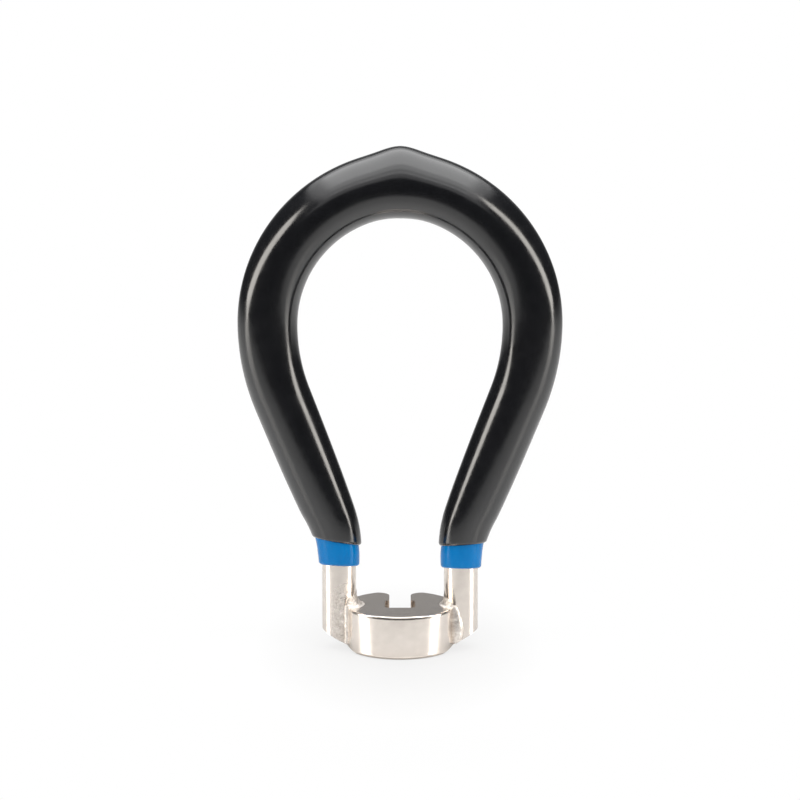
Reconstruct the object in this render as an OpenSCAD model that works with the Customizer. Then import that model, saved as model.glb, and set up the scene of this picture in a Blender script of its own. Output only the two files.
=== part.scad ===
// Four-sided spoke wrench: a bent steel loop handle, dipped twice in vinyl, brazed to a hardened head.
// Units are millimetres. Z runs up the tool from the head's underside, and the origin is on the axis
// of the nipple socket at that underside. The loop lies in the XZ plane, and the slit opens towards +Y.

/* [Nipple socket] */
// Width across the flats of the square socket, for 3.23 mm nipples
socket_w = 3.3; // [3.1:0.05:4]
// Radius left in the socket's corners
socket_corner_r = 0.5; // [0.3:0.05:0.6]
// Width of the slit that lets the spoke into the socket
slit_w = 2.35; // [2.1:0.05:2.8]
// Radius that leads the spoke in at the slit's mouth
lip_r = 1.35; // [0.8:0.05:1.8]

/* [Head] */
// Diameter of the head
head_d = 12; // [11.4:0.1:14]
// Height of the head
head_h = 4.75; // [4:0.05:6.5]
// Chamfer round the head's upper rim
top_chamfer = 0.25; // [0.1:0.05:0.5]
// Chamfer round the head's lower rim
bottom_chamfer = 0.3; // [0.1:0.05:0.5]
// Distance from the axis to where the underside starts to rise
relief_x = 4.6; // [4:0.1:5.2]
// Rise of the underside towards the rod ends, in degrees, to clear the rim
relief_angle = 29; // [20:1:35]

/* [Handle rod] */
// Diameter of the steel rod
rod_d = 3.7; // [3:0.1:4.4]
// Distance between the two legs, axis to axis
leg_pitch = 13.25; // [12.4:0.05:14.6]
// Height at which the legs start to bend outwards
bend_z = 9.4; // [8.4:0.1:11]
// Radius of the outward bend above each leg
bend_r = 14.5; // [11:0.5:18]
// Lean of the straight limbs, in degrees from upright
limb_angle = 21.5; // [18:0.5:26]
// Width of the loop at its widest, axis to axis
loop_w = 28.45; // [26:0.05:32]
// Radius of the inward bend that leads to the widest place
side_r = 22.2; // [16:0.2:25]
// Radius of the loop's shoulders
shoulder_r = 15.2; // [14.4:0.1:17]
// Turn of each shoulder, in degrees, before the crown's own radius takes over
shoulder_angle = 68; // [58:1:74]

/* [Vinyl coats] */
// Height of the undercoat's lower edge
undercoat_z = 8.8; // [8:0.1:9.2]
// Thickness of the undercoat
undercoat_t = 0.42; // [0.25:0.01:0.6]
// Height of the grip coat's lower edge
coat_z = 11.5; // [11:0.1:14]
// Thickness of the grip coat at its lower edge
coat_edge_t = 0.2; // [0.12:0.01:0.4]
// Thickness of the grip coat along the limbs
coat_limb_t = 0.9; // [0.5:0.05:1.2]
// Thickness of the grip coat at the crown, where it drained to
coat_crown_t = 1.3; // [0.9:0.05:1.8]
// Distance over which the grip coat builds up from its edge
coat_run = 5.5; // [3:0.5:8]
// Height of the last drip, dried at the crown
drip_h = 0.6; // [0.2:0.05:1.2]
// Half the width of that drip
drip_w = 2.4; // [1.5:0.1:4]

/* [Braze] */
// How far the left fillet reaches over the head
braze_left_w = 0.8; // [0.4:0.05:1]
// How far the left fillet creeps up its leg
braze_left_h = 1.7; // [0.8:0.05:2.4]
// How far the right fillet reaches over the head
braze_right_w = 0.5; // [0.3:0.05:1]
// How far the right fillet creeps up its leg
braze_right_h = 1; // [0.5:0.05:2]
// Radius of the beads that fill the grooves between head and legs
bead_r = 0.45; // [0.3:0.05:0.6]

/* [Hidden] */
$fn = 96;
overrun = 1;
bent_inset = 0.01;
rod_r = rod_d / 2;
head_r = head_d / 2;
undercoat_r = rod_r + undercoat_t;
nickel = [0.84, 0.81, 0.77];
braze_metal = [0.8, 0.77, 0.72];
blue_vinyl = [0.07, 0.48, 0.76];
black_vinyl = [0.09, 0.09, 0.1];

// The loop's centreline, one half of it, from the foot of a leg to the top of the crown
leg_x = leg_pitch / 2;
widest_x = loop_w / 2;
bends_x = (bend_r + side_r) * (1 - cos(limb_angle));
limb_len = (widest_x - leg_x - bends_x) / sin(limb_angle);
limb_x = leg_x + bend_r * (1 - cos(limb_angle));
limb_z = bend_z + bend_r * sin(limb_angle);
side_z = limb_z + limb_len * cos(limb_angle);
widest_z = side_z + side_r * sin(limb_angle);
crown_r = shoulder_r + (widest_x - shoulder_r) / cos(shoulder_angle);
crown_z = widest_z + (shoulder_r - crown_r) * sin(shoulder_angle);
crown_angle = 90 - shoulder_angle;

// Length of an arc, the turn that an arc's length makes, and where each stretch of the centreline ends
function arc_len(r, turn) = r * turn * PI / 180;
function turn_of(r, len) = len / r * 180 / PI;
end_bend = bend_z + arc_len(bend_r, limb_angle);
end_limb = end_bend + limb_len;
end_side = end_limb + arc_len(side_r, limb_angle);
end_shoulder = end_side + arc_len(shoulder_r, shoulder_angle);
end_crown = end_shoulder + arc_len(crown_r, crown_angle);

// Point and heading on the right half at a distance along it: [x, z, degrees from upright]
function on_bend(t) = [leg_x + bend_r * (1 - cos(t)), bend_z + bend_r * sin(t), t];
function on_limb(d) = [limb_x + d * sin(limb_angle), limb_z + d * cos(limb_angle), limb_angle];
function on_side(t) = [widest_x - side_r * (1 - cos(t)), widest_z - side_r * sin(t), t];
function on_shoulder(t) = [widest_x - shoulder_r * (1 - cos(t)), widest_z + shoulder_r * sin(t), -t];
function on_crown(t) = [crown_r * cos(t), crown_z + crown_r * sin(t), -t];
function along(s) =
    s < bend_z ? [leg_x, s, 0]
    : s < end_bend ? on_bend(turn_of(bend_r, s - bend_z))
    : s < end_limb ? on_limb(s - end_bend)
    : s < end_side ? on_side(limb_angle - turn_of(side_r, s - end_limb))
    : s < end_shoulder ? on_shoulder(turn_of(shoulder_r, s - end_side))
    : on_crown(shoulder_angle + turn_of(crown_r, s - end_shoulder));

// Distance along the centreline at which it passes a height on the leg or its bend
function along_at(z) = z < bend_z ? z : bend_z + arc_len(bend_r, asin((z - bend_z) / bend_r));

// The rings that the rod and both coats share, as distances along the centreline from a leg's foot:
// the blue band's rings first, then the grip coat's, which lie closer near its edge
band_rings = 4;
coat_rings = 28;
ring_share = 1.25;
coat_start = along_at(coat_z);
coat_half = end_crown - coat_start;
band_dists = [for (i = [0:band_rings - 1]) undercoat_z + (coat_start - undercoat_z) * i / band_rings];
coat_dists = [for (i = [0:coat_rings]) coat_start + coat_half * pow(i / coat_rings, ring_share)];
loop_dists = concat(band_dists, coat_dists);

// One ring of points round the centreline, on the right (1) or left (-1) half. radii has one radius
// a side of the ring, which starts on the loop's outer side.
ring_sides = 24;
function turn_at(j) = 360 * j / ring_sides;
function ring(side, s, radii) = let (p = along(s)) [for (j = [0:ring_sides - 1])
    let (out = radii[j] * cos(turn_at(j)), back = radii[j] * sin(turn_at(j)))
        [side * (p[0] + out * cos(p[2])), back, p[1] - out * sin(p[2])]];
function even(r) = [for (j = [1:ring_sides]) r];

// Rings from the left leg over the crown to the right leg, for one list of radii a distance
function over_loop(dists, radii) = concat([for (i = [0:len(dists) - 1]) ring(-1, dists[i], radii[i])],
    [for (i = [len(dists) - 2:-1:0]) ring(1, dists[i], radii[i])]);

// A closed solid through rings: solid ends for a bar, or a bore through it where inner rings are given
module sweep(outer, inner = []) {
    last = len(outer) - 1;
    shift = len(outer) * ring_sides;
    function at(i, j) = i * ring_sides + j % ring_sides;
    steps = [for (i = [0:last - 1], j = [0:ring_sides - 1]) [i, j]];
    walls = [for (s = steps, half = [0, 1]) let (i = s[0], j = s[1])
        half == 0 ? [at(i, j), at(i, j + 1), at(i + 1, j + 1)] : [at(i, j), at(i + 1, j + 1), at(i + 1, j)]];
    bore = [for (w = walls) [w[2] + shift, w[1] + shift, w[0] + shift]];
    solid_ends = [[for (j = [ring_sides - 1:-1:0]) at(0, j)], [for (j = [0:ring_sides - 1]) at(last, j)]];
    open_ends = [for (j = [0:ring_sides - 1], half = [0, 1], end = [0, last])
        let (a = at(end, j), b = at(end, j + 1),
            face = half == 0 ? [a, a + shift, b + shift] : [a, b + shift, b])
            end == 0 ? face : [face[2], face[1], face[0]]];
    points = [for (ring = concat(outer, inner), p = ring) p];
    polyhedron(points, inner == [] ? concat(walls, solid_ends) : concat(walls, bore, open_ends));
}

// The bent stretch is a hair slimmer than the turned legs, so that its facets end inside them
bent_r = rod_r - bent_inset;
rod_rings = over_loop(loop_dists, [for (d = loop_dists) even(bent_r)]);

// The sloping cuts under the rod ends and the head's flanks, one on each side
relief_len = leg_pitch + head_d;
module relief_cuts() {
    for (side = [0, 1]) mirror([side, 0, 0])
        translate([relief_x, 0, 0]) rotate([0, -relief_angle, 0])
            translate([-relief_len, -relief_len / 2, -relief_len])
                cube([2 * relief_len, relief_len, relief_len]);
}

// The bent steel rod, its two ends cut on the slope of the head's underside
module handle_rod() {
    color(nickel) difference() {
        union() {
            for (side = [-1, 1]) translate([side * leg_x, 0, 0]) cylinder(r = rod_r, h = undercoat_z);
            sweep(rod_rings);
        }
        relief_cuts();
    }
}

// Plan of the socket: a square with rounded corners
module socket_plan() {
    inner_w = socket_w - 2 * socket_corner_r;
    square([socket_w, inner_w], center = true);
    square([inner_w, socket_w], center = true);
    for (x = [-1, 1], y = [-1, 1]) translate([x * inner_w / 2, y * inner_w / 2]) circle(socket_corner_r);
}

// Plan of the slit, and of what is rounded off each lip at its mouth
lip_x = slit_w / 2 + lip_r;
lip_y = sqrt(pow(head_r - lip_r, 2) - lip_x * lip_x);
lip_reach = (head_r + overrun) / (head_r - lip_r);
module slit_plan() {
    translate([-slit_w / 2, 0]) square([slit_w, head_r + overrun]);
    for (side = [0, 1]) mirror([side, 0]) difference() {
        polygon([[lip_x, lip_y], [0, lip_y], [0, head_r + overrun], [lip_x, lip_y] * lip_reach]);
        translate([lip_x, lip_y]) circle(lip_r);
    }
}

// The turned disc before it is cut, as a profile round the axis
module disc() {
    rotate_extrude() polygon([
        [0, 0], [head_r - bottom_chamfer, 0], [head_r, bottom_chamfer],
        [head_r, head_h - top_chamfer], [head_r - top_chamfer, head_h], [0, head_h]
    ]);
}

// The two legs as plain pins, from below the head to the start of the bends
module leg_pins() {
    for (side = [-1, 1]) translate([side * leg_x, 0, -overrun]) cylinder(r = rod_r, h = bend_z + overrun);
}

// The hardened head: a disc coped to the legs, with the socket and its slit right through
module wrench_head() {
    color(nickel) difference() {
        disc();
        translate([0, 0, -overrun]) linear_extrude(head_h + 2 * overrun) {
            socket_plan();
            slit_plan();
        }
        leg_pins();
        relief_cuts();
    }
}

// Where the head's rim meets a leg, in plan
groove_x = (head_r * head_r + leg_x * leg_x - rod_r * rod_r) / (2 * leg_x);
groove_y = sqrt(head_r * head_r - groove_x * groove_x);

// How far round the leg a fillet runs each way, into the beads that it joins, and how high each bead's
// end stands above the head
groove_turn = acos((leg_x - groove_x) / rod_r);
bead_overlap_share = 0.35;
fillet_reach = groove_turn - turn_of(rod_r, bead_overlap_share * bead_r);
fillet_steps = 6;
bead_end_h = 0.5 * bead_r;
bead_end_share = 0.7;

// The left brazed joint in one run: a hollow fillet round the leg on top of the head, going over at
// both ends into a bead down the groove
module braze(w, h) {
    hollow = [for (i = [0:fillet_steps]) let (t = 90 * i / fillet_steps)
        [rod_r + w * (1 - sin(t)), h * (1 - cos(t))]];
    translate([-leg_x, 0, head_h])
        rotate_extrude(angle = 2 * fillet_reach, start = -fillet_reach)
            polygon(concat([[rod_r, 0]], hollow));
    difference() {
        for (y = [-1, 1]) translate([-groove_x, y * groove_y, head_h])
            cylinder(r1 = bead_r, r2 = bead_end_share * bead_r, h = bead_end_h);
        translate([-leg_x, 0, head_h - overrun]) cylinder(r = rod_r, h = bead_end_h + 2 * overrun);
    }
    difference() {
        linear_extrude(head_h) difference() {
            for (y = [-1, 1]) translate([-groove_x, y * groove_y]) circle(bead_r);
            circle(head_r);
            translate([-leg_x, 0]) circle(rod_r);
        }
        relief_cuts();
    }
}
module braze_fillet_left() {
    color(braze_metal) braze(braze_left_w, braze_left_h);
}
module braze_fillet_right() {
    color(braze_metal) mirror([1, 0, 0]) braze(braze_right_w, braze_right_h);
}

// The blue first dip: an even sleeve over the whole loop, which shows as a band on each leg
undercoat_rings = over_loop(loop_dists, [for (d = loop_dists) even(undercoat_r)]);
module undercoat() {
    color(blue_vinyl) sweep(undercoat_rings, rod_rings);
}

// Thickness of the grip coat at a distance from its lower edge: it builds up from a rounded lip, and
// it drained towards the crown while the tool hung upside down
lip_len = 2 * coat_edge_t;
lip_start_share = 0.3;
function lip_share(d) = d < lip_len
    ? lip_start_share + (1 - lip_start_share) * sqrt(1 - pow(1 - d / lip_len, 2)) : 1;
function coat_t(d) = lip_share(d) * (
    coat_edge_t + (coat_limb_t - coat_edge_t) * (1 - exp(-d / coat_run))
    + (coat_crown_t - coat_limb_t) * pow(d / coat_half, 3));

// The drip stands out on the outer side of the crown, away from the loop's middle
function drip(x, turn) = drip_h * exp(-pow(x / drip_w, 2)) * pow(max(0, cos(turn)), 2);
function coat_radii(s) = [for (j = [0:ring_sides - 1])
    undercoat_r + coat_t(s - coat_start) + drip(along(s)[0], turn_at(j))];

// The black second dip: thin at its edges, thick at the crown, with the last drip still on it
module grip_coat() {
    inner = over_loop(coat_dists, [for (d = coat_dists) even(undercoat_r)]);
    color(black_vinyl) sweep(over_loop(coat_dists, [for (d = coat_dists) coat_radii(d)]), inner);
}

handle_rod();
wrench_head();
braze_fillet_left();
braze_fillet_right();
undercoat();
grip_coat();
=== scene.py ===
import bpy
import bmesh
import math
import numpy as np
from mathutils import Matrix, Vector, noise


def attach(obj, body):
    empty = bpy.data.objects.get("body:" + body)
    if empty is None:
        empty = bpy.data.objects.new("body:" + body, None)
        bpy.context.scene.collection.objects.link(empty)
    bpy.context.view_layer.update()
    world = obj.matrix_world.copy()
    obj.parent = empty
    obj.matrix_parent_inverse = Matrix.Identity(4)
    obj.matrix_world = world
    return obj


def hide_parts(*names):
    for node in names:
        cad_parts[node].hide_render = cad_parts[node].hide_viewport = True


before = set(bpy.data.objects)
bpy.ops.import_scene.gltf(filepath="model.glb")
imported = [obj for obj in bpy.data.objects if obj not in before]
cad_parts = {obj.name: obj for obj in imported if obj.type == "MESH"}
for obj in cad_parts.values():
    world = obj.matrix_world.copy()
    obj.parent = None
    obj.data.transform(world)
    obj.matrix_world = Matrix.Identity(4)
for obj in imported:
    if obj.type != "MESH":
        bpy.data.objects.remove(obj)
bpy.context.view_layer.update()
MM = 0.001

# The handle rod: one length of bright steel rod, bent cold into a loop of upright legs, straight limbs
# and a round crown, nickel plated after brazing. Only its legs show, and their feet are cut on the slope
# that clears a wheel's rim. Brazing left a rough patch on the left leg's front. Sizes are millimetres.
ROD_R = 1.85
LEG_X = 6.625
BEND_Z, BEND_R = 9.4, 14.5
LIMB_TURN = math.radians(21.5)
WIDEST_X, SIDE_R = 14.225, 22.2
SHOULDER_R, SHOULDER_TURN = 15.2, math.radians(68)

# The loop's right half: a leg, the bend, the limb, the side, the shoulder and its share of the crown.
# Each end_ value is how far along the loop from the foot that stretch ends.
limb_x = LEG_X + BEND_R * (1 - math.cos(LIMB_TURN))
limb_z = BEND_Z + BEND_R * math.sin(LIMB_TURN)
limb_len = (WIDEST_X - LEG_X - (BEND_R + SIDE_R) * (1 - math.cos(LIMB_TURN))) / math.sin(LIMB_TURN)
side_z = limb_z + limb_len * math.cos(LIMB_TURN)
widest_z = side_z + SIDE_R * math.sin(LIMB_TURN)
crown_r = SHOULDER_R + (WIDEST_X - SHOULDER_R) / math.cos(SHOULDER_TURN)
crown_z = widest_z + (SHOULDER_R - crown_r) * math.sin(SHOULDER_TURN)
end_bend = BEND_Z + BEND_R * LIMB_TURN
end_limb = end_bend + limb_len
end_side = end_limb + SIDE_R * LIMB_TURN
end_shoulder = end_side + SHOULDER_R * SHOULDER_TURN
end_crown = end_shoulder + crown_r * (math.pi / 2 - SHOULDER_TURN)


def loop_point(s):
    """(x, z) on the right half's centreline at a distance from the leg's foot."""
    if s < BEND_Z:
        return LEG_X, s
    if s < end_bend:
        t = (s - BEND_Z) / BEND_R
        return LEG_X + BEND_R * (1 - math.cos(t)), BEND_Z + BEND_R * math.sin(t)
    if s < end_limb:
        d = s - end_bend
        return limb_x + d * math.sin(LIMB_TURN), limb_z + d * math.cos(LIMB_TURN)
    if s < end_side:
        t = LIMB_TURN - (s - end_limb) / SIDE_R
        return WIDEST_X - SIDE_R * (1 - math.cos(t)), widest_z - SIDE_R * math.sin(t)
    if s < end_shoulder:
        t = (s - end_side) / SHOULDER_R
        return WIDEST_X - SHOULDER_R * (1 - math.cos(t)), widest_z + SHOULDER_R * math.sin(t)
    t = SHOULDER_TURN + (s - end_shoulder) / crown_r
    return crown_r * math.cos(t), crown_z + crown_r * math.sin(t)


def new_object(name, data):
    """An object for some data, linked into the scene."""
    made = bpy.data.objects.new(name, data)
    bpy.context.scene.collection.objects.link(made)
    return made


def loop_curve(name, left, right, radii):
    """A curve object from the left leg over the crown to the right one. left and right are distances from
    each leg's foot, ending at the crown, and radii holds each point's radius."""
    places = [(-1, s) for s in left] + [(1, s) for s in reversed(right[:-1])]
    line = bpy.data.curves.new(name, "CURVE")
    line.dimensions = "3D"
    spline = line.splines.new("POLY")
    spline.points.add(len(places) - 1)
    for point, (side, s), r in zip(spline.points, places, radii):
        x, z = loop_point(s)
        point.co = (side * x * MM, 0, z * MM, 1)
        point.radius = r * MM
    return new_object(name, line)


def plain_mesh(piece):
    """The mesh that a piece's modifiers make of it."""
    bpy.context.view_layer.update()
    return bpy.data.meshes.new_from_object(piece.evaluated_get(bpy.context.evaluated_depsgraph_get()))


def grown(base, tree, name, **inputs):
    """The plain mesh object that a tree makes of a base object, with the base removed."""
    modifier = base.modifiers.new("make", "NODES")
    modifier.node_group = tree
    for item in tree.interface.items_tree:
        key = item.name.lower().replace(" ", "_")
        if item.in_out == "INPUT" and key in inputs:
            modifier[item.identifier] = inputs[key]
    made = new_object(name, plain_mesh(base))
    bpy.data.objects.remove(base)
    return made


def add_node(tree, kind, inputs=(), **settings):
    """A new node in a tree. Each of its inputs is given as a socket to link from or as a plain value."""
    made = tree.nodes.new(kind)
    for key, value in settings.items():
        setattr(made, key, value)
    for socket, value in dict(inputs).items():
        if isinstance(value, bpy.types.NodeSocket):
            tree.links.new(value, made.inputs[socket])
        else:
            made.inputs[socket].default_value = value
    return made


def sweep_tree():
    """A round bar or sleeve along a curve whose points carry the outer radius. A bore above zero makes it a
    sleeve, joined to its outer wall at both ends. The lean inputs tip its two end edges."""
    tree = bpy.data.node_groups.new("sweep_round_the_loop", "GeometryNodeTree")
    given = tree.nodes.new("NodeGroupInput")
    result = tree.nodes.new("NodeGroupOutput")
    tree.interface.new_socket("Geometry", in_out="INPUT", socket_type="NodeSocketGeometry")
    tree.interface.new_socket("Geometry", in_out="OUTPUT", socket_type="NodeSocketGeometry")

    def asked(name, kind="Float"):
        tree.interface.new_socket(name, in_out="INPUT", socket_type="NodeSocket" + kind)
        return given.outputs[name]

    def node(kind, inputs=(), **settings):
        return add_node(tree, kind, inputs, **settings)

    def calc(operation, *values):
        return node("ShaderNodeMath", dict(enumerate(values)), operation=operation).outputs[0]

    sides, bore = asked("Sides", "Int"), asked("Bore radius")
    lean_left, lean_right, lean_front = (asked("Lean " + way) for way in ("left", "right", "front"))
    edge_z, fade_z, leg_x = asked("Edge height"), asked("Lean fades at"), asked("Leg x")
    drip_h, drip_w = asked("Drip height"), asked("Drip half width")
    material = asked("Material", "Material")
    # the way that the curve runs, kept for the lean of the ends
    kept = node("GeometryNodeCaptureAttribute", {"Geometry": given.outputs["Geometry"]})
    kept.capture_items.new("VECTOR", "Way")
    tree.links.new(node("GeometryNodeInputTangent").outputs[0], kept.inputs["Way"])
    line, way = kept.outputs["Geometry"], kept.outputs["Way"]
    # the outer wall, with the drip standing out along its own normals
    ring = node("GeometryNodeCurvePrimitiveCircle", {"Resolution": sides, "Radius": 1.0}).outputs[0]
    solid = node("FunctionNodeCompare", {"A": bore, "B": 0.0}, data_type="FLOAT",
                 operation="LESS_EQUAL").outputs[0]
    thick = node("GeometryNodeInputRadius").outputs[0]
    outer = node("GeometryNodeCurveToMesh", {"Curve": line, "Profile Curve": ring, "Scale": thick,
                                             "Fill Caps": solid})
    place = node("ShaderNodeSeparateXYZ", {0: node("GeometryNodeInputPosition").outputs[0]}).outputs
    normal = node("GeometryNodeInputNormal").outputs[0]
    up = node("ShaderNodeSeparateXYZ", {0: normal}).outputs["Z"]
    across = calc("POWER", calc("DIVIDE", place["X"], drip_w), 2.0)
    hump = calc("MULTIPLY", calc("EXPONENT", calc("MULTIPLY", across, -1.0)),
                calc("POWER", calc("MAXIMUM", up, 0.0), 2.0))
    hump = calc("MULTIPLY", hump, drip_h)
    out = node("ShaderNodeVectorMath", {0: normal, "Scale": hump}, operation="SCALE")
    raised = node("GeometryNodeSetPosition", {"Geometry": outer.outputs[0], "Offset": out.outputs[0]})
    # the bore's wall, turned inwards and merged with the outer wall where the two end
    slim = node("GeometryNodeSetCurveRadius", {"Curve": line, "Radius": bore})
    inner = node("GeometryNodeCurveToMesh", {"Curve": slim.outputs[0], "Profile Curve": ring,
                                             "Scale": thick})
    inward = node("GeometryNodeFlipFaces", {"Mesh": inner.outputs[0]})
    hollow = node("GeometryNodeSwitch", {"Switch": solid, "False": inward.outputs[0]},
                  input_type="GEOMETRY")
    both = node("GeometryNodeJoinGeometry")
    tree.links.new(raised.outputs[0], both.inputs[0])
    tree.links.new(hollow.outputs[0], both.inputs[0])
    whole = node("GeometryNodeMergeByDistance", {"Geometry": both.outputs[0], "Distance": 0.002 * MM})
    # the lean of the end edges: a slide along the curve, growing with the distance from the leg's axis
    on_left = calc("LESS_THAN", place["X"], 0.0)
    slope = calc("ADD", calc("MULTIPLY", on_left, lean_left),
                 calc("MULTIPLY", calc("SUBTRACT", 1.0, on_left), lean_right))
    outward = calc("SUBTRACT", calc("ABSOLUTE", place["X"]), leg_x)
    lift = calc("SUBTRACT", calc("MULTIPLY", outward, slope), calc("MULTIPLY", place["Y"], lean_front))
    near = node("ShaderNodeMapRange", {"Value": place["Z"], "From Min": fade_z, "From Max": edge_z})
    upward = calc("SIGN", node("ShaderNodeSeparateXYZ", {0: way}).outputs["Z"])
    slide = calc("MULTIPLY", calc("MULTIPLY", lift, near.outputs[0]), upward)
    offset = node("ShaderNodeVectorMath", {0: way, "Scale": slide}, operation="SCALE")
    leaned = node("GeometryNodeSetPosition", {"Geometry": whole.outputs[0], "Offset": offset.outputs[0]})
    smooth = node("GeometryNodeSetShadeSmooth", {"Geometry": leaned.outputs[0]})
    real = node("GeometryNodeRealizeInstances", {"Geometry": smooth.outputs[0]})
    dressed = node("GeometryNodeSetMaterial", {"Geometry": real.outputs[0], "Material": material})
    tree.links.new(dressed.outputs[0], result.inputs["Geometry"])
    return tree


class Finish:
    """A procedural material under construction on Object coordinates, round one Principled shader. Its
    plain colour and roughness are for viewers that don't read the nodes."""

    def __init__(self, name, color, roughness, **sockets):
        self.material = bpy.data.materials.new(name)
        self.material.use_nodes = True
        self.tree = self.material.node_tree
        self.shader = self.tree.nodes["Principled BSDF"]
        self.place = self.node("ShaderNodeTexCoord").outputs["Object"]
        self.bumps = None
        self.set(Base_Color=(*color, 1), Roughness=roughness, **sockets)

    def node(self, kind, inputs=(), **settings):
        return add_node(self.tree, kind, inputs, **settings)

    def set(self, **sockets):
        """Links or sets the shader's own sockets."""
        for key, value in sockets.items():
            socket = self.shader.inputs[key.replace("_", " ")]
            if isinstance(value, bpy.types.NodeSocket):
                self.tree.links.new(value, socket)
            else:
                socket.default_value = value

    def axes(self):
        """The X, Y and Z of a place on the piece, in metres."""
        return self.node("ShaderNodeSeparateXYZ", {0: self.place}).outputs

    def noise(self, size, detail):
        """Noise whose features measure size in millimetres."""
        made = self.node("ShaderNodeTexNoise", {"Vector": self.place, "Scale": 1 / (size * MM),
                                                "Detail": detail})
        return made.outputs[0]

    def ramp(self, value, low, high, start=0.3, end=0.7):
        """value taken from start..end to low..high, for numbers or colours."""
        if isinstance(low, tuple):
            made = self.node("ShaderNodeValToRGB", {0: value})
            for stop, position, color in zip(made.color_ramp.elements, (start, end), (low, high)):
                stop.position = position
                stop.color = (*color, 1)
            return made.outputs[0]
        made = self.node("ShaderNodeMapRange", {"Value": value, "From Min": start, "From Max": end,
                                                "To Min": low, "To Max": high})
        return made.outputs[0]

    def band(self, value, rise, fall):
        """1 between a soft rise and a soft fall along an axis, each given by two places in mm."""
        risen = self.ramp(value, 0, 1, rise[0] * MM, rise[1] * MM)
        return self.times(risen, self.ramp(value, 1, 0, fall[0] * MM, fall[1] * MM))

    def times(self, first, *others):
        """The product of several numbers."""
        for other in others:
            first = self.node("ShaderNodeMath", {0: first, 1: other}, operation="MULTIPLY").outputs[0]
        return first

    def blend(self, share, first, second):
        """first where share is 0 and second where it is 1, for numbers or colours."""
        made = self.node("ShaderNodeMix", data_type="RGBA" if first.type == "RGBA" else "FLOAT")
        ends = [s for s in made.inputs if s.enabled]
        for value, socket in zip((share, first, second), ends):
            self.tree.links.new(value, socket)
        return next(s for s in made.outputs if s.enabled)

    def bump(self, height, depth, strength):
        """Adds a layer of relief, depth millimetres deep."""
        made = self.node("ShaderNodeBump", {"Height": height, "Distance": depth * MM, "Strength": strength})
        if self.bumps:
            self.tree.links.new(self.bumps, made.inputs["Normal"])
        self.bumps = made.outputs[0]
        self.tree.links.new(self.bumps, self.shader.inputs["Normal"])


# The nickel plate, semi-bright and slightly warm, and the dull grainy plate of the rough patch. Colours
# and roughness run between two values, and the patch's X, Y and Z give where it starts and where it stops.
NICKEL_TINTS, NICKEL_ROUGHNESS = ((0.86, 0.79, 0.73), (0.945, 0.875, 0.81)), (0.18, 0.24)
PATCH_TINTS, PATCH_ROUGHNESS = ((0.66, 0.60, 0.545), (0.90, 0.845, 0.79)), (0.42, 0.6)
PATCH_X, PATCH_Z, PATCH_BACK = ((-7.5, -6.9), (-5.8, -5.2)), ((0.2, 1.0), (5.8, 8.0)), (-0.9, -0.2)

plate = Finish("nickel_plate", (0.82, 0.75, 0.695), 0.16, Metallic=1.0)
place = plate.axes()
patch = plate.times(plate.band(place["X"], *PATCH_X), plate.band(place["Z"], *PATCH_Z),
                    plate.ramp(place["Y"], 1, 0, PATCH_BACK[0] * MM, PATCH_BACK[1] * MM),
                    plate.ramp(plate.noise(0.8, 3), 0.1, 1, 0.38, 0.56))
plate.set(Base_Color=plate.blend(patch, plate.ramp(plate.noise(0.8, 4), *NICKEL_TINTS),
                                 plate.ramp(plate.noise(0.2, 5), *PATCH_TINTS, 0.38, 0.6)),
          Roughness=plate.blend(patch, plate.ramp(plate.noise(0.9, 4), *NICKEL_ROUGHNESS),
                                plate.ramp(plate.noise(0.3, 4), *PATCH_ROUGHNESS)))

# The rod's mesh has fine steps in the legs, for the patch's lumps, and longer ones round the loop.
FOOT_TOP, FOOT_STEP, LOOP_STEP, ROD_SIDES = 10.0, 0.07, 0.6, 96
sweep = sweep_tree()
steps = list(np.arange(0, FOOT_TOP, FOOT_STEP))
steps += list(np.linspace(FOOT_TOP, end_crown, int((end_crown - FOOT_TOP) / LOOP_STEP)))
rod_line = loop_curve("rod_line", steps, steps, [ROD_R] * (2 * len(steps) - 1))
rod = grown(rod_line, sweep, "handle_rod_smooth", sides=ROD_SIDES, bore_radius=0.0,
            material=plate.material)

RELIEF_X, RELIEF_TURN = 4.6, math.radians(29)


def cut_slope(piece):
    """Takes off what lies under the two sloping cuts and closes the mesh there."""
    bm = bmesh.new()
    bm.from_mesh(piece.data)
    for side in (-1, 1):
        under = Vector((side * math.sin(RELIEF_TURN), 0, -math.cos(RELIEF_TURN)))
        found = bmesh.ops.bisect_plane(bm, geom=bm.verts[:] + bm.edges[:] + bm.faces[:], dist=1e-7,
                                       plane_co=(side * RELIEF_X * MM, 0, 0), plane_no=under,
                                       clear_outer=True)
        rim = [e for e in found["geom_cut"] if isinstance(e, bmesh.types.BMEdge)]
        bmesh.ops.holes_fill(bm, edges=rim, sides=0)
    bm.normal_update()
    bm.to_mesh(piece.data)
    bm.free()


# The left leg's lumps, by the places between which they rise and fall, and how fine the finer lumps are.
LUMPY_X, LUMPY_Z, LUMPY_FRONT = ((-7.6, -6.9), (-5.9, -5.2)), ((0.6, 1.6), (6.0, 7.2)), (0.2, 0.8)
FINE_SHARE, FINE_SCALE = 0.5, 2.3


def smooth_step(a, b, x):
    """0 below a and 1 above b, with an even bend between them."""
    t = np.clip((x - a) / (b - a), 0, 1)
    return t * t * (3 - 2 * t)


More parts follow.
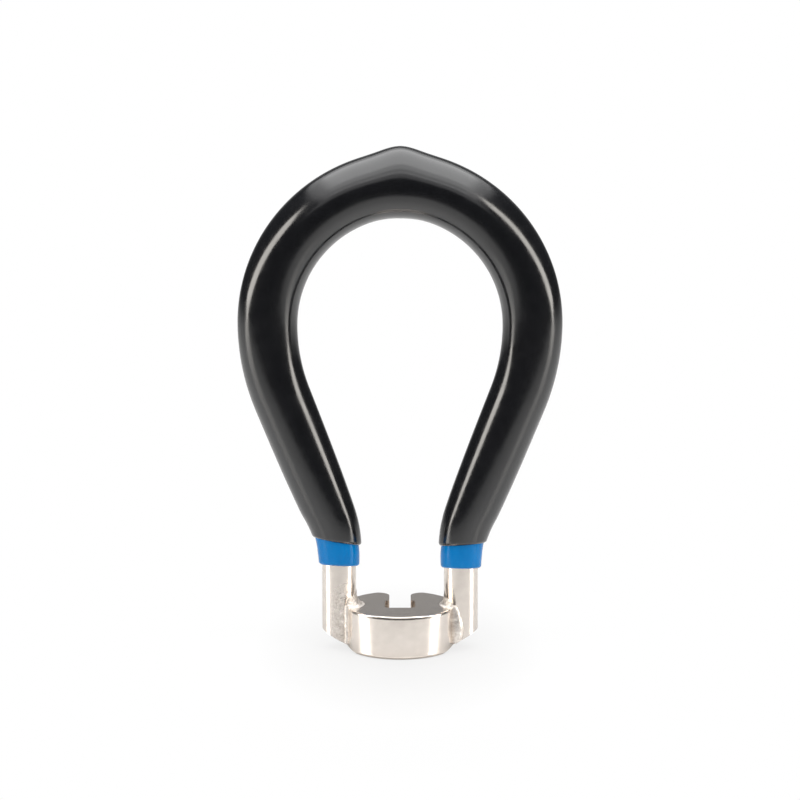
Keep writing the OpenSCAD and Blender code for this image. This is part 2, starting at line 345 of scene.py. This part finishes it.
def roughen(piece, share, depth, size, seed):
    """Pushes vertices in and out by lumps of one size and finer ones, where share(x, y, z) is above 0."""
    mesh = piece.data
    count = len(mesh.vertices)
    co, no = np.empty(count * 3), np.empty(count * 3)
    mesh.vertices.foreach_get("co", co)
    mesh.vertices.foreach_get("normal", no)
    co, no = co.reshape(-1, 3) / MM, no.reshape(-1, 3)
    weight = share(co[:, 0], co[:, 1], co[:, 2])
    for i in np.nonzero(weight > 0)[0]:
        p = Vector(co[i]) / size + Vector((seed, 0, 0))
        lump = noise.noise(p) + FINE_SHARE * noise.noise(p * FINE_SCALE)
        co[i] += no[i] * depth * weight[i] * lump
    mesh.vertices.foreach_set("co", (co * MM).ravel())
    mesh.update()


def brazing_patch(x, y, z):
    """Where the left leg's front is lumpy: its share by the place in millimetres."""
    across = smooth_step(*LUMPY_X[0], x) * (1 - smooth_step(*LUMPY_X[1], x))
    up = smooth_step(*LUMPY_Z[0], z) * (1 - smooth_step(*LUMPY_Z[1], z))
    return smooth_step(*LUMPY_FRONT, -y) * across * up


ROD_SHARP = math.radians(32)
cut_slope(rod)
rod.data.set_sharp_from_angle(angle=ROD_SHARP)
roughen(rod, brazing_patch, depth=0.015, size=0.45, seed=3)
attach(rod, "root")
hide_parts("handle_rod")

# The wrench head: a hardened steel disc with a four-sided socket through it and a slit for the spoke. It
# is coped to the legs, its rims are chamfered, and it is nickel plated with the rod.
HEAD_R, HEAD_H, HEAD_SIDES = 6.0, 4.75, 256
TAPER_H, TAPER, RIM_H, RIM = 0.30, 0.05, 0.07, 0.10
BOTTOM_CHAMFER, EDGE_R = 0.3, 0.07
SOCKET_W, SOCKET_CORNER_R, SLIT_W, LIP_R = 3.3, 0.5, 2.35, 1.35
HEAD_SHARP, FLAT_NORMAL = math.radians(24), 0.999


def mesh_object(name, verts, faces):
    """A mesh object from corners in millimetres."""
    mesh = bpy.data.meshes.new(name)
    mesh.from_pydata([tuple(c * MM for c in v) for v in verts], [], faces)
    return new_object(name, mesh)


def turned(name, profile, sides):
    """A solid turned round Z from a profile of (radius, height) that starts and ends on the axis."""
    low, *wall, high = profile
    verts = [(0, 0, low[1])]
    for r, z in wall:
        verts += [(r * math.cos(2 * math.pi * j / sides), r * math.sin(2 * math.pi * j / sides), z)
                  for j in range(sides)]
    verts.append((0, 0, high[1]))

    def at(i, j):
        return 1 + i * sides + j % sides

    last = len(wall) - 1
    faces = [(0, at(0, j + 1), at(0, j)) for j in range(sides)]
    faces += [(at(i, j), at(i, j + 1), at(i + 1, j + 1), at(i + 1, j))
              for i in range(last) for j in range(sides)]
    faces += [(at(last, j), at(last, j + 1), len(verts) - 1) for j in range(sides)]
    return mesh_object(name, verts, faces)


def prism(name, outline, low, high):
    """An upright solid over a plan outline given anticlockwise."""
    n = len(outline)
    verts = [(x, y, low) for x, y in outline] + [(x, y, high) for x, y in outline]
    faces = [tuple(reversed(range(n))), tuple(range(n, 2 * n))]
    faces += [(j, (j + 1) % n, n + (j + 1) % n, n + j) for j in range(n)]
    return mesh_object(name, verts, faces)


def arc(x, y, r, start, end, steps):
    """Points on an arc round (x, y) between two angles in degrees."""
    return [(x + r * math.cos(math.radians(start + (end - start) * i / steps)),
             y + r * math.sin(math.radians(start + (end - start) * i / steps))) for i in range(steps + 1)]


def rounded(points, r, steps):
    """A profile with each inner corner rounded by a small radius."""
    made = [points[0]]
    for before, here, after in zip(points, points[1:], points[2:]):
        a, b = Vector(before) - Vector(here), Vector(after) - Vector(here)
        a, b = a.normalized() * min(r, a.length / 2), b.normalized() * min(r, b.length / 2)
        for i in range(steps + 1):
            t = i / steps
            made.append(tuple(Vector(here) + a * (1 - t) ** 2 + b * t ** 2))
    return made + [points[-1]]


# The socket and the slit in plan, anticlockwise from the socket's front left corner. The slit's sides end
# in round lips, and its outline goes on past the rim.
half, inner = SOCKET_W / 2, SOCKET_W / 2 - SOCKET_CORNER_R
lip_x = SLIT_W / 2 + LIP_R
lip_y = math.sqrt((HEAD_R - LIP_R) ** 2 - lip_x ** 2)
lip_end = math.degrees(math.atan2(lip_y, lip_x))
past = HEAD_R + 1
past_x, past_y = past * math.cos(math.radians(lip_end)), past * math.sin(math.radians(lip_end))
key_plan = (
    arc(-inner, -inner, SOCKET_CORNER_R, 180, 270, 10) + arc(inner, -inner, SOCKET_CORNER_R, 270, 360, 10)
    + arc(inner, inner, SOCKET_CORNER_R, 0, 70, 8) + [(SLIT_W / 2, half)]
    + arc(lip_x, lip_y, LIP_R, 180, lip_end, 24) + [(past_x, past_y), (0, 1.4 * past), (-past_x, past_y)]
    + arc(-lip_x, lip_y, LIP_R, 180 - lip_end, 0, 24) + [(-SLIT_W / 2, half)]
    + arc(-inner, inner, SOCKET_CORNER_R, 110, 180, 8)
)
head = turned("wrench_head_smooth", rounded([
    (0, 0), (HEAD_R - BOTTOM_CHAMFER, 0), (HEAD_R, BOTTOM_CHAMFER),
    (HEAD_R, HEAD_H - TAPER_H), (HEAD_R - TAPER, HEAD_H - RIM_H), (HEAD_R - TAPER - RIM, HEAD_H),
    (0, HEAD_H)], EDGE_R, 6), HEAD_SIDES)
cutters = [prism("socket_cut", key_plan, -1, HEAD_H + 1)]
for side in (-1, 1):
    # each cope starts 2 degrees off the X axis, so that none of its corners falls on one of the head's
    cope = [(side * LEG_X + x, y) for x, y in arc(0, 0, ROD_R, 2, 358, 95)]
    cutters.append(prism("cope_cut", cope, -1, HEAD_H + 1))
for cutter in cutters:
    cut = head.modifiers.new("cut", "BOOLEAN")
    cut.operation, cut.solver, cut.object = "DIFFERENCE", "EXACT", cutter
head.data = plain_mesh(head)
head.modifiers.clear()
for cutter in cutters:
    bpy.data.objects.remove(cutter)
cut_slope(head)
head.data.materials.clear()
head.data.materials.append(plate.material)
head.data.polygons.foreach_set("use_smooth", [abs(f.normal.z) < FLAT_NORMAL for f in head.data.polygons])
head.data.set_sharp_from_angle(angle=HEAD_SHARP)
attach(head, "root")
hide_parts("wrench_head")

# The brazed joints: filler metal run into the corners between head and legs, as a hollow fillet on top
# that creeps up the leg and a lumpy bead down each groove. It was plated with the rest, and stays rough
# under the nickel.
BEAD_TINTS, BEAD_ROUGHNESS = ((0.76, 0.70, 0.645), (0.97, 0.92, 0.87)), (0.34, 0.5)
FILLET_TINTS, FILLET_ROUGHNESS = ((0.50, 0.455, 0.41), (0.88, 0.83, 0.78)), (0.5, 0.7)
BEAD_UP_TO, FILLET_FROM = 4.5, 5.1

braze = Finish("plated_braze", (0.78, 0.745, 0.69), 0.32, Metallic=1.0)
on_top = braze.ramp(braze.axes()["Z"], 0, 1, BEAD_UP_TO * MM, FILLET_FROM * MM)
grain, sheen = braze.noise(0.22, 5), braze.noise(0.35, 4)
braze.set(Base_Color=braze.blend(on_top, braze.ramp(grain, *BEAD_TINTS, 0.36, 0.64),
                                 braze.ramp(grain, *FILLET_TINTS, 0.36, 0.64)),
          Roughness=braze.blend(on_top, braze.ramp(sheen, *BEAD_ROUGHNESS),
                                braze.ramp(sheen, *FILLET_ROUGHNESS)))
braze.bump(braze.noise(0.3, 3), 0.02, 0.5)

groove_x = (HEAD_R ** 2 + LEG_X ** 2 - ROD_R ** 2) / (2 * LEG_X)
groove_y = math.sqrt(HEAD_R ** 2 - groove_x ** 2)

# The fillet reaches 62 degrees round the leg to each side and gets thinner on the way. A bead starts a
# little above the slope, ends a little above the head, and is fullest below its middle.
FILLET_REACH, FILLET_RINGS, HOLLOW_STEPS, FILLET_BACK, FILLET_TAPER = 62, 36, 10, 0.15, 0.55
BEAD_STEPS, BEAD_FOOT, BEAD_TOP, BEAD_END, LOW_BELLY = 24, 0.12, 0.25, 0.62, 0.72
SKIN_VOXEL, BRAZE_SHARP = 0.055, math.radians(50)


def tube(points, radii, sides=20):
    """Verts and faces of a closed round bar through points, each ring square to the bar's heading."""
    verts, faces = [], []
    n = len(points)
    for i, (p, r) in enumerate(zip(points, radii)):
        ahead = (Vector(points[min(i + 1, n - 1)]) - Vector(points[max(i - 1, 0)])).normalized()
        side = ahead.orthogonal().normalized() if i == 0 else (side - ahead * side.dot(ahead)).normalized()
        up = ahead.cross(side)
        for j in range(sides):
            t = 2 * math.pi * j / sides
            verts.append(Vector(p) + side * r * math.cos(t) + up * r * math.sin(t))
    for i in range(n - 1):
        for j in range(sides):
            a, b = i * sides + j, i * sides + (j + 1) % sides
            faces.append((a, b, b + sides, a + sides))
    faces += [tuple(reversed(range(sides))), tuple(range((n - 1) * sides, n * sides))]
    return verts, faces


def fillet(side, width, height):
    """Verts and faces of the hollow fillet on top of the head, thinner towards its two ends and with its
    back sunk a little into leg and head."""
    verts, faces = [], []
    hollow = [(ROD_R + width * (1 - math.sin(t)), height * (1 - math.cos(t)))
              for t in (math.pi / 2 * i / HOLLOW_STEPS for i in range(HOLLOW_STEPS + 1))]
    hollow = [(ROD_R - FILLET_BACK, -FILLET_BACK), (ROD_R + width, -FILLET_BACK)] + hollow
    hollow.append((ROD_R - FILLET_BACK, height))
    k = len(hollow)
    for i in range(FILLET_RINGS + 1):
        u = -1 + 2 * i / FILLET_RINGS
        turn = math.radians(u * FILLET_REACH)
        thin = 1 - FILLET_TAPER * u ** 4
        for r, z in hollow:
            r = ROD_R + (r - ROD_R) * thin
            z = HEAD_H + z * (thin if z > 0 else 1)
            verts.append((side * LEG_X - side * (r * math.cos(turn)), r * math.sin(turn), z))
    for i in range(FILLET_RINGS):
        for j in range(k):
            a, b = i * k + j, i * k + (j + 1) % k
            faces.append((a, b, b + k, a + k))
    faces += [tuple(reversed(range(k))), tuple(range(FILLET_RINGS * k, (FILLET_RINGS + 1) * k))]
    return verts, faces


def brazed_joint(name, side, width, height, bead_r, belly, drift, sunk, lumps, seed):
    """The filler on one side of the head: the fillet on top and the beads in the two grooves, run together
    under one skin. belly swells the beads, and drift and sunk move their middles out and in."""
    verts, faces = fillet(side, width, height)
    low, high = (groove_x - RELIEF_X) * math.tan(RELIEF_TURN) + BEAD_FOOT, HEAD_H + BEAD_TOP
    swell = [math.sin(math.pi * ((i + 1.5) / (BEAD_STEPS + 3)) ** LOW_BELLY)
             for i in range(BEAD_STEPS + 1)]
    radii = [bead_r * BEAD_END + (bead_r * (1 - BEAD_END) + belly) * v for v in swell]
    for y in (-1, 1):
        path = [(side * (groove_x + drift * v), y * (groove_y - sunk * v),
                 low + (high - low) * i / BEAD_STEPS) for i, v in enumerate(swell)]
        bead_verts, bead_faces = tube(path, radii)
        faces += [tuple(i + len(verts) for i in face) for face in bead_faces]
        verts += bead_verts
    made = mesh_object(name, verts, faces)
    bm = bmesh.new()
    bm.from_mesh(made.data)
    bmesh.ops.recalc_face_normals(bm, faces=bm.faces[:])
    bm.to_mesh(made.data)
    bm.free()
    skin = made.modifiers.new("skin", "REMESH")
    skin.mode, skin.voxel_size = "VOXEL", SKIN_VOXEL * MM
    ease = made.modifiers.new("ease", "SMOOTH")
    ease.factor, ease.iterations = 0.5, 6
    made.data = plain_mesh(made)
    made.modifiers.clear()
    made.data.materials.append(braze.material)
    made.data.polygons.foreach_set("use_smooth", [True] * len(made.data.polygons))
    roughen(made, lambda x, y, z: np.ones_like(x), depth=lumps, size=0.6, seed=seed)
    cut_slope(made)
    made.data.set_sharp_from_angle(angle=BRAZE_SHARP)
    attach(made, "root")
    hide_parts(name.replace("_smooth", ""))


brazed_joint("braze_fillet_left_smooth", -1, width=1.0, height=1.7, bead_r=0.5, belly=0.0,
             drift=-0.16, sunk=0.12, lumps=0.06, seed=11)
brazed_joint("braze_fillet_right_smooth", 1, width=0.55, height=1.05, bead_r=0.45, belly=0.36,
             drift=0.42, sunk=0.2, lumps=0.045, seed=23)

# The blue undercoat: the first dip in liquid vinyl, over the whole loop. A band of it shows on each leg
# under the black, its edge a rounded lip that leans a little where the rod hung out of true in the bath.
UNDER_R, UNDER_EDGE_R, UNDER_GROWTH = 2.27, 2.2, 0.05
UNDER_EDGES, UNDER_LEANS, UNDER_EDGE_Z, UNDER_FADE_Z = (9.1, 8.8), (2.8, -0.6, 10), 9.6, 20
BLUE_TINTS, BLUE_ROUGHNESS = ((0.0, 0.165, 0.47), (0.001, 0.19, 0.52)), (0.10, 0.15)

# How deep a sleeve sits in what it clings to, and how far its rounded edge reaches.
SUNK, EDGE_LIP = 0.02, 0.3

blue = Finish("blue_vinyl_dip", (0.002, 0.19, 0.6), 0.2, Specular_IOR_Level=0.18)
blue.set(Base_Color=blue.ramp(blue.noise(1.8, 3), *BLUE_TINTS),
         Roughness=blue.ramp(blue.noise(0.8, 3), *BLUE_ROUGHNESS))
blue.bump(blue.noise(2.4, 2), 0.03, 0.6)
blue.bump(blue.noise(0.12, 2), 0.002, 0.4)


def edge_distances(start, step, first=0.012, growth=1.25):
    """Distances from an edge to the crown: fine over the rounded lip, then growing to an even step."""
    made, gap = [start], first
    while made[-1] < end_crown - step:
        made.append(made[-1] + gap)
        if made[-1] - start > EDGE_LIP:
            gap = min(step, gap * growth)
    return made + [end_crown]


def lip_share(d):
    """How much of a coat's thickness its rounded edge has at a distance d from where it ends."""
    return 1.0 if d >= EDGE_LIP else math.sqrt(max(0.0, 1 - (1 - d / EDGE_LIP) ** 2))


def dipped(name, bore, radius_at, finish, edges, leans, edge_z, fade_z, step, sides, drip=(0.0, 1.0)):
    """A vinyl sleeve round the loop. radius_at gives its outer radius by the distance from its edge, and
    edges how far up the left and the right leg it starts. leans gives, in degrees, how its edges rise
    outwards on the left, outwards on the right and towards the front, fading from edge_z to fade_z. drip is
    the height and half width of the nub on its crown."""
    left, right = (edge_distances(edge, step) for edge in edges)
    radii = [bore + (radius_at(s - edge) - bore) * lip_share(s - edge)
             for run, edge in ((left, edges[0]), (right, edges[1])) for s in run]
    radii = radii[:len(left)] + radii[len(left):-1][::-1]
    line = loop_curve(name + "_line", left, right, radii)
    lean_left, lean_right, lean_front = (math.tan(math.radians(lean)) for lean in leans)
    made = grown(line, sweep, name, sides=sides, bore_radius=bore * MM, leg_x=LEG_X * MM,
                 lean_left=lean_left, lean_right=lean_right, lean_front=lean_front,
                 edge_height=edge_z * MM, lean_fades_at=fade_z * MM,
                 drip_height=drip[0] * MM, drip_half_width=drip[1] * MM, material=finish.material)
    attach(made, "root")
    return made


def under_radius(d):
    """The undercoat's outer radius at a distance d from its edge."""
    return min(UNDER_R, UNDER_EDGE_R + UNDER_GROWTH * d)


under = dipped("undercoat_smooth", ROD_R - SUNK, under_radius, blue, UNDER_EDGES, UNDER_LEANS,
               UNDER_EDGE_Z, UNDER_FADE_Z, step=0.5, sides=80)
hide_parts("undercoat")

# The black grip coat: the second dip, black vinyl. It is thin at its lower edge, builds up along the
# limbs, and drained to the crown while the tool hung upside down, where the last drip dried as a low nub.
COAT_EDGE_T, COAT_LIMB_T, COAT_CROWN_T, COAT_RUN = 0.26, 0.9, 1.3, 5.5
COAT_EDGES, COAT_LEANS, COAT_EDGE_Z, COAT_FADE_Z = (11.72, 11.42), (19.3, 12, 9.6), 12.3, 26
DRIP = (0.6, 2.4)
BLACK_TINTS, BLACK_ROUGHNESS = ((0.0046, 0.0050, 0.0063), (0.0062, 0.0066, 0.0081)), (0.13, 0.2)

black = Finish("black_vinyl_dip", (0.0042, 0.0045, 0.0052), 0.16, Specular_IOR_Level=0.85)
black.set(Base_Color=black.ramp(black.noise(2.6, 3), *BLACK_TINTS),
          Roughness=black.ramp(black.noise(1.3, 4), *BLACK_ROUGHNESS))
black.bump(black.noise(3.2, 2), 0.03, 0.5)
black.bump(black.noise(0.14, 2), 0.0025, 0.5)


def coat_radius(d):
    """The grip coat's outer radius at a distance d from its edge."""
    d = max(d, 0)
    crown_share = (d / (end_crown - COAT_EDGES[1])) ** 3
    return UNDER_R + (COAT_EDGE_T + (COAT_LIMB_T - COAT_EDGE_T) * (1 - math.exp(-d / COAT_RUN))
                      + (COAT_CROWN_T - COAT_LIMB_T) * crown_share)


grip = dipped("grip_coat_smooth", UNDER_R - SUNK, coat_radius, black, COAT_EDGES, COAT_LEANS,
              COAT_EDGE_Z, COAT_FADE_Z, step=0.32, sides=96, drip=DRIP)
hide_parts("grip_coat")

# The table: white to the camera, with the tool's soft shadow left on it close to the head, deepened there
# by a painted shadow. What the tool mirrors of it is glossier, darkens towards the camera in painted shade,
# and ends there.
TABLE_X, TABLE_NEAR, TABLE_FAR = 1500, -190, 3000
# The table's colour: pale near the tool and painted shade towards the camera, with two tones between.
PAINTED_SHADE_Y, PALE_Y = -105, -20
PAINTED_SHADE_TONE, PALE_TONE, PAINTED_SHADE_STEPS = 0.06, 0.68, ((0.36, 0.41), (0.7, 0.50))
MATT_ROUGHNESS, MATT_SPECULAR = 0.45, 0.1
MIRRORED_ROUGHNESS, MIRRORED_SPECULAR = 0.12, 0.5
# The glow's strength, dimmer close to the tool: a painted shadow round the head.
GLOW, PAINTED_SHADOW_PLACES = (0.88, 1.0), (5 * MM, 30 * MM)
GLOW_SHARE, SHARE_PLACES = (0.86, 1.0), (10 * MM, 50 * MM)
SHADE_NARROWED = 1.9

floor = mesh_object("floor", [(-TABLE_X, TABLE_NEAR, 0), (TABLE_X, TABLE_NEAR, 0), (TABLE_X, TABLE_FAR, 0),
                              (-TABLE_X, TABLE_FAR, 0)], [(0, 1, 2, 3)])
white = Finish("white_table", (PALE_TONE,) * 3, MATT_ROUGHNESS)
# Painted shade: the table's colour darkens towards the camera, where mostly the tool's reflections see it.
back = white.ramp(white.axes()["Y"], 0.0, 1.0, PAINTED_SHADE_Y * MM, PALE_Y * MM)
tone_with_painted_shade = white.ramp(back, (PAINTED_SHADE_TONE,) * 3, (PALE_TONE,) * 3, 0.0, 1.0)
for position, level in PAINTED_SHADE_STEPS:
    tone_with_painted_shade.node.color_ramp.elements.new(position).color = (level, level, level, 1)
seen = white.node("ShaderNodeLightPath").outputs
mirrored = seen["Is Glossy Ray"]
white.set(Base_Color=tone_with_painted_shade,
          Roughness=white.ramp(mirrored, MATT_ROUGHNESS, MIRRORED_ROUGHNESS, 0.0, 1.0),
          Specular_IOR_Level=white.ramp(mirrored, MATT_SPECULAR, MIRRORED_SPECULAR, 0.0, 1.0))
narrowed = white.node("ShaderNodeVectorMath", {0: white.place, 1: (SHADE_NARROWED, 1, 1)},
                      operation="MULTIPLY")
far_off = white.node("ShaderNodeVectorMath", {0: narrowed.outputs[0]}, operation="LENGTH").outputs["Value"]
# A painted shadow: the glow is dimmer close to the head.
glow_with_painted_shadow = white.node("ShaderNodeEmission", {"Strength": white.ramp(far_off, *GLOW, *PAINTED_SHADOW_PLACES)})
lit = white.times(white.ramp(far_off, *GLOW_SHARE, *SHARE_PLACES), seen["Is Camera Ray"])
mixed = white.node("ShaderNodeMixShader", {0: lit, 1: white.shader.outputs[0], 2: glow_with_painted_shadow.outputs[0]})
white.tree.links.new(mixed.outputs[0], white.tree.nodes["Material Output"].inputs["Surface"])
floor.data.materials.append(white.material)

# The light: three wide soft lamps overhead, one in front and a tall one on each side, and a dim studio all
# round, brighter behind the tool, that shows in the metal and is plain white to the camera.
SIDE_AIM, SIDE_DISTANCE, SIDE_COLOUR = Vector((0, 0, 25)), 420, (1.0, 0.96, 0.90)
STUDIO_DIM, STUDIO_BACK, BACK_FROM, BACK_FULL = 0.05, 0.28, 0.8, 0.97


def soft_light(name, place, aim, width, height, radiance):
    """A rectangular lamp that looks as bright as its radiance, whatever its size."""
    lamp = bpy.data.lights.new(name, "AREA")
    lamp.shape, lamp.size, lamp.size_y = "RECTANGLE", width * MM, height * MM
    lamp.energy = radiance * math.pi * (width * MM) * (height * MM)
    made = new_object(name, lamp)
    made.location = Vector(place) * MM
    made.rotation_euler = (Vector(aim) * MM - made.location).to_track_quat("-Z", "Y").to_euler()
    return made


soft_light("overhead_light", (0, 40, 350), (0, 40, 0), 440, 430, 1.05)
soft_light("middle_light", (0, -10, 355), (0, -10, 0), 480, 600, 0.8)
soft_light("ceiling_light", (0, -30, 360), (0, -30, 0), 600, 940, 1.3)
soft_light("front_light", (0, -470, 300), (0, 0, 50), 560, 150, 0.65)


def toward(azimuth, elevation):
    """A point beside the tool, by its angle from the camera's side and its height, both in degrees."""
    a, e = math.radians(azimuth), math.radians(elevation)
    return Vector((math.sin(a) * math.cos(e), -math.cos(a) * math.cos(e), math.sin(e))) * SIDE_DISTANCE


def side_light(name, low, high, width, radiance):
    """A long soft lamp between two points beside the tool, facing it."""
    low, high = toward(*low), toward(*high)
    lamp = soft_light(name, (low + high) / 2, SIDE_AIM, width, (high - low).length, radiance)
    lamp.data.color = SIDE_COLOUR
    facing = (lamp.location - SIDE_AIM * MM).normalized()
    along = (high - low).normalized()
    along = (along - facing * along.dot(facing)).normalized()
    lamp.rotation_euler = Matrix((along.cross(facing), along, facing)).transposed().to_euler()


side_light("right_light", (87, 2), (44, 40), 90, 6.5)
side_light("left_light", (-89, 2), (-55, 36), 114, 6.4)

world = bpy.data.worlds.new("studio")
bpy.context.scene.world = world
world.use_nodes = True
studio = world.node_tree
look = add_node(studio, "ShaderNodeSeparateXYZ",
                {0: add_node(studio, "ShaderNodeTexCoord").outputs["Generated"]})
behind = add_node(studio, "ShaderNodeMapRange", {
    "Value": look.outputs["Y"], "From Min": BACK_FROM, "From Max": BACK_FULL,
    "To Min": STUDIO_DIM, "To Max": STUDIO_BACK})
to_camera = add_node(studio, "ShaderNodeLightPath").outputs["Is Camera Ray"]
brightness = add_node(studio, "ShaderNodeMix", {"Factor": to_camera, 2: behind.outputs[0], 3: 1.0},
                      data_type="FLOAT")
studio.links.new(brightness.outputs[0], studio.nodes["Background"].inputs["Strength"])
studio.nodes["Background"].inputs["Color"].default_value = (1, 1, 1, 1)

# The camera: a long lens in front of the tool and a little above it, at the photograph's angle and with
# its frame.
CAMERA_PLACE, CAMERA_AIM = Vector((0, -365.4, 95.8)), Vector((0, 0, 27.37))
camera = new_object("camera", bpy.data.cameras.new("camera"))
camera.data.lens, camera.data.sensor_width = 155.2, 36
camera.location = CAMERA_PLACE * MM
camera.rotation_euler = (CAMERA_AIM * MM - camera.location).to_track_quat("-Z", "Y").to_euler()
bpy.context.scene.camera = camera
bpy.context.scene.view_settings.view_transform = "Standard"
